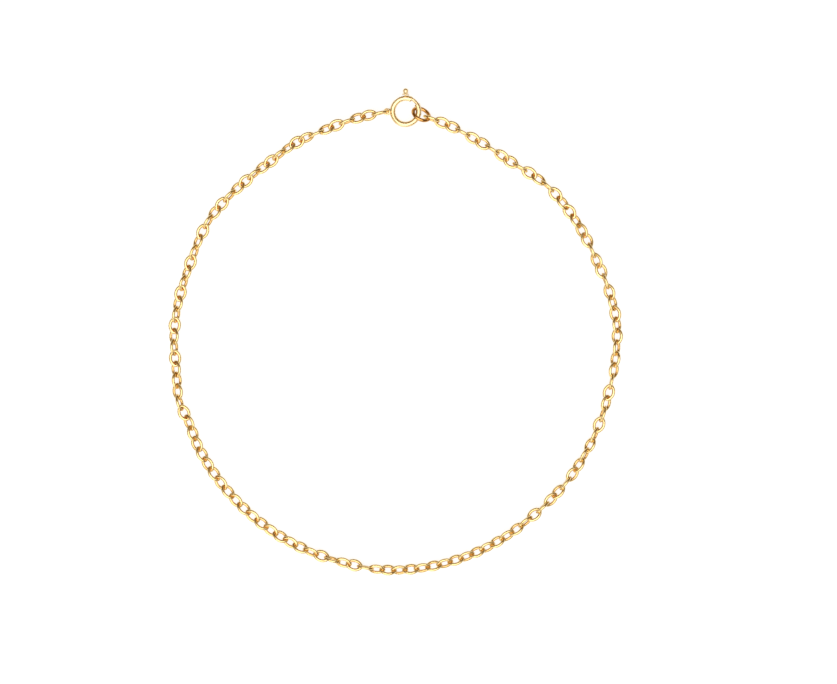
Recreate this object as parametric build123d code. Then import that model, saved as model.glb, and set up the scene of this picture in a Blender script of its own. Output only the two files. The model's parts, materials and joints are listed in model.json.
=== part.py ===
from build123d import *
import os
from math import cos, degrees, hypot, radians, sin, sqrt

# A chain anklet of polished yellow gold that lies on a table as a loose loop.
# Units are millimetres. +Z is up, +Y points from the loop's centre to the clasp.
# A clock angle is counted clockwise from +Y, seen from above.

# ---- Driving dimensions ----

# oval cable link: round wire bent to a flat-ended oval
LINK_COUNT = 121
LINK_WIRE = 0.42
LINK_LENGTH = 3.06
LINK_WIDTH = 2.22
LINK_END_RADIUS = 1.50
LINK_SIDE_RADIUS = 4.00
LINK_CORNER_RADIUS = 0.60

# how the chain lies: the centre of a link, and its distance from the loop's centre
# link number, clock angle, distance
LAY = [
    (1, 9.5, 41.62),
    (3, 15.2, 40.98),
    (5, 21.0, 40.22),
    (7, 26.9, 39.78),
    (9, 32.8, 39.47),
    (11, 38.5, 39.80),
    (13, 44.4, 40.19),
    (18, 59.0, 40.10),
    (21, 67.8, 40.06),
    (24, 76.6, 40.55),
    (27, 85.3, 40.96),
    (30, 94.1, 40.66),
    (33, 102.9, 40.37),
    (38, 117.5, 40.47),
    (42, 129.2, 40.56),
    (46, 140.7, 40.58),
    (50, 152.5, 41.01),
    (55, 167.0, 41.38),
    (60, 181.5, 41.54),
    (64, 193.0, 41.21),
    (70, 210.4, 41.07),
    (77, 231.1, 40.74),
    (81, 242.9, 40.54),
    (83, 248.8, 40.24),
    (85, 254.5, 40.70),
    (88, 263.2, 40.15),
    (91, 271.8, 40.28),
    (95, 283.2, 40.13),
    (98, 291.6, 40.06),
    (102, 303.2, 40.61),
    (107, 317.6, 40.19),
    (110, 326.0, 40.19),
    (113, 334.2, 40.81),
    (116, 342.45, 41.05),
    (119, 350.85, 41.72),
    (121, 356.52, 42.21),
]

# how far the end loop lifts the first link
FIRST_LIFT = 0.20

# how far each link is rolled about the chain: 0 is flat, 90 stands on edge, and at a
# plus angle the outer side is the higher one
# times, rolls of the links in turn
ROLLS = [
    (1, (84, 31, -19)),
    (1, (90, 32, -15)),
    (1, (90, 36, -12)),
    (1, (88, 12, -36)),
    (1, (86, 12, -41, 12, -43, 33, -18)),
    (1, (90, 34, -14)),
    (1, (88, 30, -46, 24, -46, 31, -57, 46, -38)),
    (1, (90, 15, -40)),
    (1, (80, 15, -70)),
    (1, (45, -64, 43, -27)),
    (1, (90, 38, -30)),
    (1, (90, 24, -63)),
    (7, (40, -42)),
    (1, (90, 18, -38)),
    (1, (77, 20, -50)),
    (3, (32, -30)),
    (4, (34, -26)),
    (1, (36, -39, 12)),
    (1, (68, -33, 46, -40, 14)),
    (2, (62, -40, 13)),
    (2, (62, -48, 14)),
    (3, (71, -30, 20)),
    (1, (68, -46, 0)),
    (1, (47, -86, -36, 22)),
    (1, (84, -30, 34, 90)),
]

# bolt ring: a hollow round tube bent to a ring, open between two clock angles
RING_CENTRE = (2.15, 42.42, 1.50)
RING_TILT = 8
RING_RADIUS = 2.41
TUBE = 1.02
BORE = 0.84
GAP_START = 27
GAP_END = 59

# soldered eye on the ring's chain side
EYE_CLOCK = 269.5
EYE_RADIUS = 0.49
EYE_WIRE = 0.32
EYE_SINK = 0.11

# trigger: a sprung wire inside the tube with a ball to push it open
TONGUE = 0.56
TONGUE_TAIL = -4
TONGUE_TIP = 67
TRIGGER_TRAVEL = 40
NECK = 0.36
COLLAR = 1.30
COLLAR_TOP = 0.70
COLLAR_HEIGHT = 0.34
BALL = 1.00
BALL_TOP = 1.30
CLEARANCE = 0.12

# end loop: a round wire ring round the tube and the first link, leaning on its side
LOOP_CENTRE = (5.00, 41.85)
LOOP_RADIUS = 1.63
LOOP_WIRE = 0.58
LOOP_CLOCK = 117
LOOP_ROLL = -49
LOOP_DIP = 4


# ---- The way the chain lies ----

def lay_at(link, column):
    """Value of a LAY column at a link number: a smooth cubic through the rows."""
    rows = LAY
    last = len(rows) - 2
    k = min(max(sum(row[0] <= link for row in rows) - 1, 0), last)

    def slope(i):
        low, high = max(i - 1, 0), min(i + 1, len(rows) - 1)
        return (rows[high][column] - rows[low][column]) / (rows[high][0] - rows[low][0])

    step = rows[k + 1][0] - rows[k][0]
    t = (link - rows[k][0]) / step
    rise = rows[k + 1][column] - rows[k][column]
    start = slope(k) * step - rise
    end = rise - slope(k + 1) * step
    return rows[k][column] + t * rise + t * (1 - t) * ((1 - t) * start + t * end)


def all_rolls():
    """Roll of every link, in degrees."""
    return [roll for times, pattern in ROLLS for roll in pattern * times]


def link_heights(rolls):
    """Height of every link's centre: the chain runs just over its steepest links."""
    half = (LINK_WIDTH - LINK_WIRE) / 2

    def highest(i, reach):
        near = rolls[max(i - reach, 0):i + reach + 1]
        return max(abs(sin(radians(roll))) for roll in near)

    heights = []
    for i in range(LINK_COUNT):
        near = [highest(j, 2) for j in range(max(i - 1, 0), min(i + 2, LINK_COUNT))]
        heights.append(LINK_WIRE / 2 + half * sum(near) / len(near))
    heights[0] += FIRST_LIFT
    heights[1] += FIRST_LIFT / 2
    return heights


def link_planes():
    """Frame of every link: X along the chain, Y across the link, Z through its hole."""
    rolls = all_rolls()
    centres = []
    for i, height in enumerate(link_heights(rolls)):
        clock = radians(lay_at(i + 1, 1))
        distance = lay_at(i + 1, 2)
        centres.append(Vector(distance * sin(clock), distance * cos(clock), height))

    planes = []
    for i, centre in enumerate(centres):
        along = centres[min(i + 1, LINK_COUNT - 1)] - centres[max(i - 1, 0)]
        outward = along.cross(Vector(0, 0, -1)).normalized()
        upward = along.cross(outward).normalized()
        roll = radians(rolls[i])
        normal = upward * cos(roll) - outward * sin(roll)
        planes.append(Plane(centre, x_dir=along, z_dir=normal))
    return planes


# ---- Chain ----

def oval_wire():
    """Centre line of a link: two end arcs and two side arcs joined by corner arcs."""
    half_length = (LINK_LENGTH - LINK_WIRE) / 2
    half_width = (LINK_WIDTH - LINK_WIRE) / 2
    end_x = half_length - LINK_END_RADIUS
    side_y = half_width - LINK_SIDE_RADIUS
    to_end = LINK_END_RADIUS - LINK_CORNER_RADIUS
    to_side = LINK_SIDE_RADIUS - LINK_CORNER_RADIUS

    # the corner's centre lies to_end from the end arc's centre and to_side from the side's
    base = hypot(end_x, side_y)
    foot = (base**2 + to_end**2 - to_side**2) / (2 * base)
    off = sqrt(to_end**2 - foot**2)
    toward = Vector(-end_x, side_y) / base
    corner = Vector(end_x, 0) + toward * foot + Vector(-toward.Y, toward.X) * off

    end_join = corner + (corner - Vector(end_x, 0)).normalized() * LINK_CORNER_RADIUS
    side_join = corner + (corner - Vector(0, side_y)).normalized() * LINK_CORNER_RADIUS
    middle = (end_join + side_join) / 2
    bulge = corner + (middle - corner).normalized() * LINK_CORNER_RADIUS

    def turned(point, x, y):
        return (point.X * x, point.Y * y)

    corners = [
        ThreePointArc(turned(end_join, x, y), turned(bulge, x, y), turned(side_join, x, y))
        for x, y in ((1, 1), (-1, 1), (-1, -1), (1, -1))
    ]
    ends = [
        ThreePointArc(turned(end_join, x, -1), (x * half_length, 0), turned(end_join, x, 1))
        for x in (1, -1)
    ]
    sides = [
        ThreePointArc(turned(side_join, 1, y), (0, y * half_width), turned(side_join, -1, y))
        for y in (1, -1)
    ]
    return Wire(corners + ends + sides)


def make_link():
    """One closed link, its hole facing +Z and its length along X."""
    centre_line = oval_wire()
    start = Plane(centre_line @ 0, z_dir=centre_line % 0)
    return sweep(start * Circle(LINK_WIRE / 2), centre_line)


def make_chain():
    link = make_link()
    return Compound([plane.location * link for plane in link_planes()])


# ---- Clasp, first built flat with its centre at the origin ----

def at_clock(clock, distance):
    """A point of the ring's plane."""
    return (distance * sin(radians(clock)), distance * cos(radians(clock)), 0)


def ring_sector(profile, start, end):
    """A profile beside the Z axis, carried clockwise from one clock angle to another."""
    return Rot(0, 0, 90 - end) * revolve(Plane.XZ * profile, Axis.Z, end - start)


def ring_location():
    """Where the flat ring lies: its chain side low, its other side on the end loop."""
    return Location(RING_CENTRE, (0, -RING_TILT, 0))


def make_clasp_ring():
    tube = ring_sector(Pos(RING_RADIUS, 0) * Circle(TUBE / 2), GAP_END, GAP_START + 360)
    bore = ring_sector(Pos(RING_RADIUS, 0) * Circle(BORE / 2), GAP_END - 1, GAP_START + 361)

    # the neck's slot runs through the outer wall over the trigger's whole travel
    width = NECK + 2 * CLEARANCE
    spare = degrees(width / (2 * RING_RADIUS))
    slot = ring_sector(
        Pos(RING_RADIUS + TUBE / 2, 0) * Rectangle(TUBE, width), -TRIGGER_TRAVEL - spare, spare
    )

    eye_reach = RING_RADIUS + TUBE / 2 - EYE_SINK + EYE_RADIUS + EYE_WIRE / 2
    eye = Pos(*at_clock(EYE_CLOCK, eye_reach)) * Torus(EYE_RADIUS, EYE_WIRE / 2)
    return ring_location() * (tube + eye - bore - slot)


def make_clasp_trigger():
    tongue = ring_sector(Pos(RING_RADIUS, 0) * Circle(TONGUE / 2), TONGUE_TAIL, TONGUE_TIP)
    wall = RING_RADIUS + TUBE / 2
    ball_centre = wall + BALL_TOP - BALL / 2

    # the collar is a cone that widens towards the tube
    foot = (Align.CENTER, Align.CENTER, Align.MIN)
    neck = Cylinder(NECK / 2, ball_centre - RING_RADIUS, align=foot)
    collar = Cone(COLLAR / 2, COLLAR_TOP / 2, COLLAR_HEIGHT, align=foot)
    post = Pos(0, 0, RING_RADIUS) * neck + Pos(0, 0, wall + CLEARANCE) * collar
    ball = Pos(0, ball_centre, 0) * Sphere(BALL / 2)
    return ring_location() * (tongue + Rot(-90, 0, 0) * post + ball)


def make_end_loop():
    """A round loop that passes under the tube on one side and over it on the other."""
    upright = cos(radians(LOOP_ROLL)) * cos(radians(LOOP_DIP))
    height = LOOP_WIRE / 2 + LOOP_RADIUS * sqrt(1 - upright**2)
    placed = Location((*LOOP_CENTRE, height), (0, 0, 90 - LOOP_CLOCK))
    placed = placed * Rot(0, LOOP_DIP, 0) * Rot(LOOP_ROLL, 0, 0)
    return placed * Torus(LOOP_RADIUS, LOOP_WIRE / 2)


# ---- Nodes, moved so that the origin is under the middle of the whole ----

nodes = {
    "chain": make_chain(),
    "clasp_ring": make_clasp_ring(),
    "clasp_trigger": make_clasp_trigger(),
    "end_loop": make_end_loop(),
}

bounds = Compound(list(nodes.values())).bounding_box()
to_origin = Pos(-bounds.center().X, -bounds.center().Y, -bounds.min.Z)

os.makedirs("parts", exist_ok=True)
for name, shape in nodes.items():
    export_step(to_origin * shape, f"parts/{name}.step")
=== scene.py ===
import json
from math import atan2, cos, hypot, pi, radians, sin

import bmesh
import bpy
import numpy as np
from mathutils import Matrix, Vector


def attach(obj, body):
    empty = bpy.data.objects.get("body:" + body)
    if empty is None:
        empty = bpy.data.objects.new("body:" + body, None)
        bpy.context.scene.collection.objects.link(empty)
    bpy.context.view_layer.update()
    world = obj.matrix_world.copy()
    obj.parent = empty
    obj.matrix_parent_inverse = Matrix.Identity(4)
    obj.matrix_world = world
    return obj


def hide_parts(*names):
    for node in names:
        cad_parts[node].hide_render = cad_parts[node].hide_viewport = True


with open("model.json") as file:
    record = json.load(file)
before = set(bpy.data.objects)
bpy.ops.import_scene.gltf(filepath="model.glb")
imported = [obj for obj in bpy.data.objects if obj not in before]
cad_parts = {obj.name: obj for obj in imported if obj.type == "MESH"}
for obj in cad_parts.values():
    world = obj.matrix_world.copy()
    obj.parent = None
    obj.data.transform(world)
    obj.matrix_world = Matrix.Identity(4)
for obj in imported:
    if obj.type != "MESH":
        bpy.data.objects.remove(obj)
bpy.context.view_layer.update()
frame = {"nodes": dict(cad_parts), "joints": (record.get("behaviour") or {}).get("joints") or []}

# ---- Camera ----
# The anklet lies on a table and is seen from straight above, with the clasp at the top.
# A long lens keeps the loop free of perspective.
MM = 0.001
VIEW_WIDTH = 153.6 * MM
VIEW_CENTRE = (4.18 * MM, -1.89 * MM)
LENS = 105
SENSOR_WIDTH = 36

camera_data = bpy.data.cameras.new("camera")
camera_data.sensor_width = SENSOR_WIDTH
camera_data.lens = LENS
camera_data.clip_start = 0.01
camera_data.clip_end = 20
camera = bpy.data.objects.new("camera", camera_data)
bpy.context.scene.collection.objects.link(camera)
bpy.context.scene.camera = camera
camera.location = (*VIEW_CENTRE, VIEW_WIDTH * LENS / SENSOR_WIDTH)

# ---- Table and room ----
# A white table top under soft studio light. The table shows plain white to the lens and in the
# gold, and still takes the anklet's faint shadow.
TABLE_HALF_SIDE = 1.5
TABLE_WHITE = 0.85
TABLE_GLOW = 0.80
TABLE_SHEEN = 0.30
ROOM_COLOUR = (1.0, 0.58, 0.28)
ROOM_LIGHT = 0.21

# name, place, width, depth, power in watts
LAMPS = [
    ("overhead_softbox", (0.0, -0.2, 0.9), 1.4, 1.1, 10.6),
    ("front_softbox", (-0.4, -0.9, 0.4), 0.9, 0.5, 2.8),
]

table_mesh = bpy.data.meshes.new("table_top")
table_form = bmesh.new()
bmesh.ops.create_grid(table_form, x_segments=1, y_segments=1, size=TABLE_HALF_SIDE)
table_form.to_mesh(table_mesh)
table_form.free()
table_top = bpy.data.objects.new("table_top", table_mesh)
bpy.context.scene.collection.objects.link(table_top)

table_white = bpy.data.materials.new("table_white")
table_white.use_nodes = True
table_nodes = table_white.node_tree.nodes
table_links = table_white.node_tree.links
table_nodes.remove(table_nodes["Principled BSDF"])
seen_by = table_nodes.new("ShaderNodeLightPath")
matt = table_nodes.new("ShaderNodeBsdfDiffuse")
matt.inputs["Color"].default_value = (TABLE_WHITE, TABLE_WHITE, TABLE_WHITE, 1)
glow = table_nodes.new("ShaderNodeEmission")
glow.inputs["Strength"].default_value = TABLE_GLOW
lit = table_nodes.new("ShaderNodeBsdfDiffuse")
lit.inputs["Color"].default_value = (TABLE_SHEEN, TABLE_SHEEN, TABLE_SHEEN, 1)
white = table_nodes.new("ShaderNodeAddShader")
table_links.new(glow.outputs[0], white.inputs[0])
table_links.new(lit.outputs[0], white.inputs[1])
mirrored = table_nodes.new("ShaderNodeMath")
mirrored.operation = "MAXIMUM"
table_links.new(seen_by.outputs["Is Glossy Ray"], mirrored.inputs[0])
table_links.new(seen_by.outputs["Is Transmission Ray"], mirrored.inputs[1])
direct = table_nodes.new("ShaderNodeMath")
direct.operation = "MAXIMUM"
table_links.new(seen_by.outputs["Is Camera Ray"], direct.inputs[0])
table_links.new(mirrored.outputs[0], direct.inputs[1])
shown = table_nodes.new("ShaderNodeMixShader")
table_links.new(direct.outputs[0], shown.inputs["Fac"])
table_links.new(matt.outputs[0], shown.inputs[1])
table_links.new(white.outputs[0], shown.inputs[2])
table_links.new(shown.outputs[0], table_nodes["Material Output"].inputs["Surface"])
table_mesh.materials.append(table_white)

room = bpy.data.worlds.new("room")
bpy.context.scene.world = room
room.use_nodes = True
room_light = room.node_tree.nodes["Background"]
room_light.inputs["Color"].default_value = (*ROOM_COLOUR, 1)
room_light.inputs["Strength"].default_value = ROOM_LIGHT
bpy.context.scene.view_settings.view_transform = "Standard"

for name, place, width, depth, power in LAMPS:
    lamp_data = bpy.data.lights.new(name, "AREA")
    lamp_data.shape = "RECTANGLE"
    lamp_data.size = width
    lamp_data.size_y = depth
    lamp_data.energy = power
    lamp = bpy.data.objects.new(name, lamp_data)
    lamp.location = place
    lamp.rotation_euler = Vector(place).to_track_quat("Z", "Y").to_euler()
    bpy.context.scene.collection.objects.link(lamp)


# ---- Chain ----
# Oval cable links of polished yellow gold, bent from round wire and closed with solder. Each link
# hangs in the next and lies as its neighbours let it. Inside its ends, where the next link
# crosses, the gold is painted browner as shade.
WIRE_WIDTH = 0.58 * MM
WIRE_THICKNESS = 0.54 * MM
LINK_LENGTH = 3.26 * MM
LINK_WIDTH = 2.32 * MM
LINK_END_RADIUS = 0.42 * MM
LINK_WIRE_SIDES = 12
LINK_SIDE_STEPS = 7
LINK_HALF_END_STEPS = 2
WELD = 0.002 * MM

LINK_GOLD = (0.88, 0.71, 0.35)
LINK_WARM_GOLD = (0.86, 0.65, 0.28)
LINK_ROUGHNESS = 0.24

# how much of the painted shade the sides have, and where along the link it is full
PAINTED_SHADE_SIDE = 0.6
PAINTED_SHADE_START = 0.77
PAINTED_SHADE_COLOUR = (0.70, 0.33, 0.08)

# the gold's warmer patches and its scratches, as noise scales on a metre
PATCH_SCALE = 900
PATCH_EDGES = (0.3, 0.75)
SCRATCH_SCALE = 9000
SCRATCH_DEPTH = 0.01 * MM
SCRATCH_STRENGTH = 0.25

# the least and the most roughness of a piece, as shares of its own
WEAR = (0.7, 1.5)


def wire_section(form, radius, place, sides, flatness=1):
    """A ring of points across a wire that starts at a place on +X and runs along +Y."""
    across = Matrix.Translation((place, 0, 0)) @ Matrix.Rotation(pi / 2, 4, "X")
    across = across @ Matrix.Scale(flatness, 4, (0, 1, 0))
    made = bmesh.ops.create_circle(form, radius=radius, segments=sides, matrix=across)
    return made["verts"] + list({edge for vert in made["verts"] for edge in vert.link_edges})


def bend(form, section, centre, angle, steps):
    """The wire goes on round one arc. Its new end comes back."""
    bent = bmesh.ops.spin(
        form, geom=section, cent=(*centre, 0), axis=(0, 0, 1), angle=angle, steps=steps
    )
    return bent["geom_last"]


def gold(name, colour, warm_colour, roughness):
    """Polished gold: fine scratches, faint waviness, a slightly warmer tone in patches and
    painted shade where the mesh carries a shade value.
    """
    material = bpy.data.materials.new(name)
    material.use_nodes = True
    nodes = material.node_tree.nodes
    links = material.node_tree.links
    surface = nodes["Principled BSDF"]
    surface.inputs["Metallic"].default_value = 1

    place = nodes.new("ShaderNodeTexCoord")
    patches = nodes.new("ShaderNodeTexNoise")
    patches.inputs["Scale"].default_value = PATCH_SCALE
    patches.inputs["Detail"].default_value = 2
    links.new(place.outputs["Object"], patches.inputs["Vector"])
    tone = nodes.new("ShaderNodeValToRGB")
    for stop, edge, shade in zip(tone.color_ramp.elements, PATCH_EDGES, (colour, warm_colour)):
        stop.position = edge
        stop.color = (*shade, 1)
    links.new(patches.outputs["Fac"], tone.inputs["Fac"])
    # painted shade: the base colour is mixed toward a brown by the mesh's shade value, which the
    # links carry inside their ends
    crossing_shade = nodes.new("ShaderNodeAttribute")
    crossing_shade.attribute_name = "crossing_shade"
    shade_mix = nodes.new("ShaderNodeMix")
    shade_mix.data_type = "RGBA"
    links.new(crossing_shade.outputs["Fac"], shade_mix.inputs["Factor"])
    links.new(tone.outputs["Color"], shade_mix.inputs["A"])
    shade_mix.inputs["B"].default_value = (*PAINTED_SHADE_COLOUR, 1)
    links.new(shade_mix.outputs["Result"], surface.inputs["Base Color"])

    scratches = nodes.new("ShaderNodeTexNoise")
    scratches.inputs["Scale"].default_value = SCRATCH_SCALE
    scratches.inputs["Detail"].default_value = 6
    links.new(place.outputs["Object"], scratches.inputs["Vector"])
    wear = nodes.new("ShaderNodeMapRange")
    wear.inputs["To Min"].default_value = roughness * WEAR[0]
    wear.inputs["To Max"].default_value = roughness * WEAR[1]
    links.new(scratches.outputs["Fac"], wear.inputs["Value"])
    links.new(wear.outputs["Result"], surface.inputs["Roughness"])
    relief = nodes.new("ShaderNodeBump")
    relief.inputs["Strength"].default_value = SCRATCH_STRENGTH
    relief.inputs["Distance"].default_value = SCRATCH_DEPTH
    links.new(scratches.outputs["Fac"], relief.inputs["Height"])
    links.new(relief.outputs["Normal"], surface.inputs["Normal"])
    return material


def finish_piece(form, name, material, body, sharp=40):
    """A finished mesh becomes a piece of the scene."""
    bmesh.ops.recalc_face_normals(form, faces=form.faces)
    mesh = bpy.data.meshes.new(name)
    form.to_mesh(mesh)
    form.free()
    mesh.shade_smooth()
    mesh.set_sharp_from_angle(angle=radians(sharp))
    mesh.materials.append(material)
    piece = bpy.data.objects.new(name, mesh)
    bpy.context.scene.collection.objects.link(piece)
    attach(piece, body)
    return piece


def make_link():
    """One closed link with its length along X and its hole along Z: an oval of four arcs."""
    half_length = (LINK_LENGTH - WIRE_WIDTH) / 2
    half_width = (LINK_WIDTH - WIRE_WIDTH) / 2
    end_x = half_length - LINK_END_RADIUS
    widening = half_width - LINK_END_RADIUS
    side_radius = (end_x**2 + half_width**2 - LINK_END_RADIUS**2) / (2 * widening)
    side_y = side_radius - half_width
    end_angle = atan2(side_y, end_x)
    side_angle = pi - 2 * end_angle

    # centre, angle and steps of each arc, from the middle of one end round to it again
    arcs = [
        ((end_x, 0), end_angle, LINK_HALF_END_STEPS),
        ((0, -side_y), side_angle, LINK_SIDE_STEPS),
        ((-end_x, 0), 2 * end_angle, 2 * LINK_HALF_END_STEPS),
        ((0, side_y), side_angle, LINK_SIDE_STEPS),
        ((end_x, 0), end_angle, LINK_HALF_END_STEPS),
    ]
    form = bmesh.new()
    # painted shade: each point gets a value, 1 on the inner face of the wire and 0 on its outer
    # face
    crossing_shade = form.verts.layers.float.new("crossing_shade")
    flatness = WIRE_THICKNESS / WIRE_WIDTH
    section = wire_section(form, WIRE_WIDTH / 2, half_length, LINK_WIRE_SIDES, flatness)
    for vert in form.verts:
        vert[crossing_shade] = max(0, (half_length - vert.co.x) / (WIRE_WIDTH / 2))
    for centre, angle, steps in arcs:
        section = bend(form, section, centre, angle, steps)
    bmesh.ops.remove_doubles(form, verts=form.verts, dist=WELD)
    # the painted shade stays full at the ends, where the next link crosses, and is weaker along
    # the sides
    for vert in form.verts:
        to_end = min(1, abs(vert.co.x) / (PAINTED_SHADE_START * half_length))
        vert[crossing_shade] *= PAINTED_SHADE_SIDE + (1 - PAINTED_SHADE_SIDE) * to_end**2
    link = bpy.data.meshes.new("link")
    form.to_mesh(link)
    form.free()
    return link


def link_places(node):
    """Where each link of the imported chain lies: X along the chain, Z through its hole."""
    packed = bmesh.new()
    packed.from_mesh(node.data)
    bmesh.ops.remove_doubles(packed, verts=packed.verts, dist=WELD)
    places = []
    seen = set()
    for start in packed.verts:
        if start.index in seen:
            continue
        seen.add(start.index)
        island = [start]
        for vert in island:
            for edge in vert.link_edges:
                other = edge.other_vert(vert)
                if other.index not in seen:
                    seen.add(other.index)
                    island.append(other)
        points = np.array([vert.co for vert in island])
        _, axes = np.linalg.eigh(np.cov((points - points.mean(0)).T))
        spans = points @ axes
        centre = axes @ (spans.min(0) + spans.max(0)) / 2
        along, across = Vector(axes[:, 2]), Vector(axes[:, 1])
        turn = Matrix((along, across, along.cross(across))).transposed().to_4x4()
        places.append(Matrix.Translation(centre) @ turn)
    packed.free()
    return places


link = make_link()
chain_form = bmesh.new()
# the links' painted shade values come along into the chain
chain_form.verts.layers.float.new("crossing_shade")
for place in link_places(frame["nodes"]["chain"]):
    placed = link.copy()
    placed.transform(place)
    chain_form.from_mesh(placed)
    bpy.data.meshes.remove(placed)
bpy.data.meshes.remove(link)

link_gold = gold("link_gold", LINK_GOLD, LINK_WARM_GOLD, LINK_ROUGHNESS)
chain = finish_piece(chain_form, "chain_links", link_gold, "anklet", sharp=60)
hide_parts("chain")


# ---- Bolt ring ----
# A round gold tube bent to a ring and left open for a short way, with a slot along its outer
# side for the trigger. A small wire eye is soldered on beside the chain.
clasp = frame["joints"][0]
ring_normal = Vector(clasp["axis"])
ring_up = Vector((0, 1, 0))
ring_turn = Matrix((ring_up.cross(ring_normal), ring_up, ring_normal)).transposed().to_4x4()
ring_place = Matrix.Translation(clasp["pos_m"]) @ ring_turn

RING_RADIUS = 2.41 * MM
TUBE = 1.02 * MM
TUBE_WALL = 0.09 * MM
TUBE_SIDES = 24
TUBE_STEPS = 82
TUBE_ROUNDING = 0.03 * MM
TUBE_ROUNDING_STEPS = 2
RIM_ANGLE = radians(50)
GAP_START = radians(27)
GAP_END = radians(59)
SLOT_START = radians(-45)
SLOT_END = radians(7)
SLOT_WIDTH = 0.60 * MM
EYE_CLOCK = radians(269.5)
EYE_RADIUS = 0.49 * MM
EYE_WIRE = 0.34 * MM
EYE_REACH = 3.46 * MM
EYE_STEPS = 40
EYE_WIRE_SIDES = 16
SOLDER_REACH = 2.93 * MM
SOLDER_SIZE = Vector((0.28, 0.58, 0.24)) * MM
SOLDER_SIDES = 32
CLASP_GOLD = (0.95, 0.78, 0.45)
CLASP_WARM_GOLD = (0.93, 0.72, 0.38)
CLASP_ROUGHNESS = 0.34


def at_clock(clock):
    """Turns what stands on +X to a clock angle, counted clockwise from +Y."""
    return Matrix.Rotation(pi / 2 - clock, 4, "Z")


def round_rims(form, rounding, steps):
    """Rounds every sharp edge of a form."""
    rims = [edge for edge in form.edges if edge.calc_face_angle(0) > RIM_ANGLE]
    bmesh.ops.bevel(form, geom=rims, offset=rounding, segments=steps, profile=0.5,
                    affect="EDGES", material=-1)


def make_tube():
    """The hollow tube, bent from one side of its gap to the other, with the trigger's slot."""
    form = bmesh.new()
    section = wire_section(form, TUBE / 2, RING_RADIUS, TUBE_SIDES)
    bmesh.ops.rotate(form, verts=form.verts, cent=(RING_RADIUS, 0, 0),
                     matrix=Matrix.Rotation(pi / TUBE_SIDES, 3, "Y"))
    bmesh.ops.transform(form, matrix=at_clock(GAP_START), verts=form.verts)
    bend(form, section, (0, 0), 2 * pi - (GAP_END - GAP_START), TUBE_STEPS)

    def in_slot(face):
        middle = face.calc_center_median()
        outer = hypot(middle.x, middle.y) > RING_RADIUS
        within_width = abs(middle.z) < SLOT_WIDTH / 2
        return outer and within_width and SLOT_START < atan2(middle.x, middle.y) < SLOT_END

    slot = [face for face in form.faces if in_slot(face)]
    bmesh.ops.delete(form, geom=slot, context="FACES")
    bmesh.ops.recalc_face_normals(form, faces=form.faces)
    bmesh.ops.solidify(form, geom=form.faces, thickness=TUBE_WALL)
    round_rims(form, TUBE_ROUNDING, TUBE_ROUNDING_STEPS)
    return form


def make_ring(radius, wire, steps, sides):
    """A round wire bent to a full ring in the XY plane."""
    form = bmesh.new()
    section = wire_section(form, wire / 2, radius, sides)
    bmesh.ops.spin(form, geom=section, cent=(0, 0, 0), axis=(0, 0, 1), angle=2 * pi, steps=steps,
                   use_merge=True)
    return form


def add_form(form, extra, place):
    """A second form joins the first at its place."""
    bmesh.ops.transform(extra, matrix=place, verts=extra.verts)
    mesh = bpy.data.meshes.new("extra")
    extra.to_mesh(mesh)
    extra.free()
    form.from_mesh(mesh)
    bpy.data.meshes.remove(mesh)


ring_form = make_tube()
eye_place = at_clock(EYE_CLOCK) @ Matrix.Translation((EYE_REACH, 0, 0))
add_form(ring_form, make_ring(EYE_RADIUS, EYE_WIRE, EYE_STEPS, EYE_WIRE_SIDES), eye_place)
solder = bmesh.new()
bmesh.ops.create_uvsphere(solder, u_segments=SOLDER_SIDES, v_segments=SOLDER_SIDES // 2, radius=1,
                          matrix=Matrix.Diagonal(SOLDER_SIZE.to_4d()))
add_form(ring_form, solder, at_clock(EYE_CLOCK) @ Matrix.Translation((SOLDER_REACH, 0, 0)))
bmesh.ops.transform(ring_form, matrix=ring_place, verts=ring_form.verts)
clasp_gold = gold("clasp_gold", CLASP_GOLD, CLASP_WARM_GOLD, CLASP_ROUGHNESS)
clasp_ring = finish_piece(ring_form, "bolt_ring", clasp_gold, "anklet")
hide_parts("clasp_ring")


# ---- Trigger ----
# The clasp's sprung wire closes the gap in the ring. A turned ball on a flared foot stands on
# it, outside the tube, for the thumb.
TONGUE = 0.60 * MM
TONGUE_REACH = 2.50 * MM
TONGUE_TAIL = radians(-4)
TONGUE_TIP = radians(67)
TONGUE_SIDES = 16
TONGUE_STEPS = 24
TONGUE_ROUNDING = 0.10 * MM
TONGUE_ROUNDING_STEPS = 3

# radius and distance from the ring's centre line, from inside the tube to the ball's foot
POST = [
    (0.00, 0.00), (0.18, 0.00), (0.18, 0.63), (0.62, 0.63), (0.65, 0.66), (0.65, 0.69),
    (0.58, 0.76), (0.51, 0.83), (0.46, 0.90), (0.43, 0.97), (0.42, 1.02),
]
BALL = 1.00 * MM
BALL_CENTRE = 1.31 * MM
BALL_STEPS = 12
POST_STEPS = 32


def make_tongue():
    """The sprung wire, with its ends rounded."""
    form = bmesh.new()
    section = wire_section(form, TONGUE / 2, TONGUE_REACH, TONGUE_SIDES)
    bmesh.ops.transform(form, matrix=at_clock(TONGUE_TIP), verts=form.verts)
    bend(form, section, (0, 0), TONGUE_TIP - TONGUE_TAIL, TONGUE_STEPS)
    ends = [edge for edge in form.edges if edge.is_boundary]
    bmesh.ops.holes_fill(form, edges=ends, sides=TONGUE_SIDES)
    round_rims(form, TONGUE_ROUNDING, TONGUE_ROUNDING_STEPS)
    return form


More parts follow.
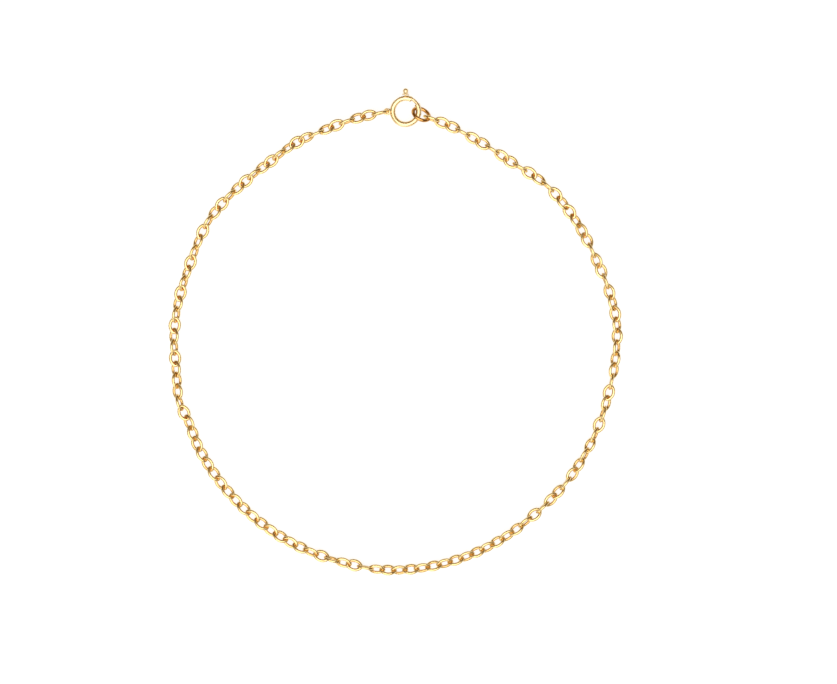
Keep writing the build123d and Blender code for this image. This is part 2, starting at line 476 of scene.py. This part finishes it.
def make_post():
    """The flared foot and the ball, turned about +X."""
    form = bmesh.new()
    outline = [(radius * MM, height * MM) for radius, height in POST]
    foot = outline[-1]
    start = atan2(foot[0], foot[1] - BALL_CENTRE)
    for step in range(1, BALL_STEPS + 1):
        angle = start * (1 - step / BALL_STEPS)
        outline.append((BALL / 2 * sin(angle), BALL_CENTRE + BALL / 2 * cos(angle)))
    verts = [form.verts.new((height, radius, 0)) for radius, height in outline]
    edges = [form.edges.new(pair) for pair in zip(verts, verts[1:])]
    bmesh.ops.spin(form, geom=verts + edges, cent=(0, 0, 0), axis=(1, 0, 0), angle=2 * pi,
                   steps=POST_STEPS, use_merge=True)
    bmesh.ops.remove_doubles(form, verts=form.verts, dist=WELD)
    return form


trigger_form = make_tongue()
add_form(trigger_form, make_post(), at_clock(0) @ Matrix.Translation((RING_RADIUS, 0, 0)))
bmesh.ops.transform(trigger_form, matrix=ring_place, verts=trigger_form.verts)
trigger = finish_piece(trigger_form, "trigger", clasp_gold, "trigger")
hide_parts("clasp_trigger")


# ---- End loop ----
# A round wire loop, soldered shut, joins the last link to the clasp. It leans on its side, under
# the tube and over it again.
LOOP_RADIUS = 1.59 * MM
LOOP_WIRE = 0.66 * MM
LOOP_STEPS = 72
LOOP_WIRE_SIDES = 20
# painted shade: the loop is the chain's gold, given dark brown base colours for the shade it lies
# in beside and under the tube
LOOP_SHADED_GOLD = (0.66, 0.37, 0.12)
LOOP_SHADED_WARM_GOLD = (0.58, 0.30, 0.08)
LOOP_ROUGHNESS = 0.20


def ring_place_of(node):
    """Where a packed ring lies: its middle, and Z through its hole."""
    points = np.array([vert.co for vert in node.data.vertices])
    centre = (points.min(0) + points.max(0)) / 2
    _, axes = np.linalg.eigh(np.cov((points - points.mean(0)).T))
    along, through = Vector(axes[:, 2]), Vector(axes[:, 0])
    turn = Matrix((along, through.cross(along), through)).transposed().to_4x4()
    return Matrix.Translation(centre) @ turn


loop_form = make_ring(LOOP_RADIUS, LOOP_WIRE, LOOP_STEPS, LOOP_WIRE_SIDES)
loop_place = ring_place_of(frame["nodes"]["end_loop"])
bmesh.ops.transform(loop_form, matrix=loop_place, verts=loop_form.verts)
loop_gold = gold("loop_gold", LOOP_SHADED_GOLD, LOOP_SHADED_WARM_GOLD, LOOP_ROUGHNESS)
end_loop = finish_piece(loop_form, "loop", loop_gold, "anklet")
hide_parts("end_loop")
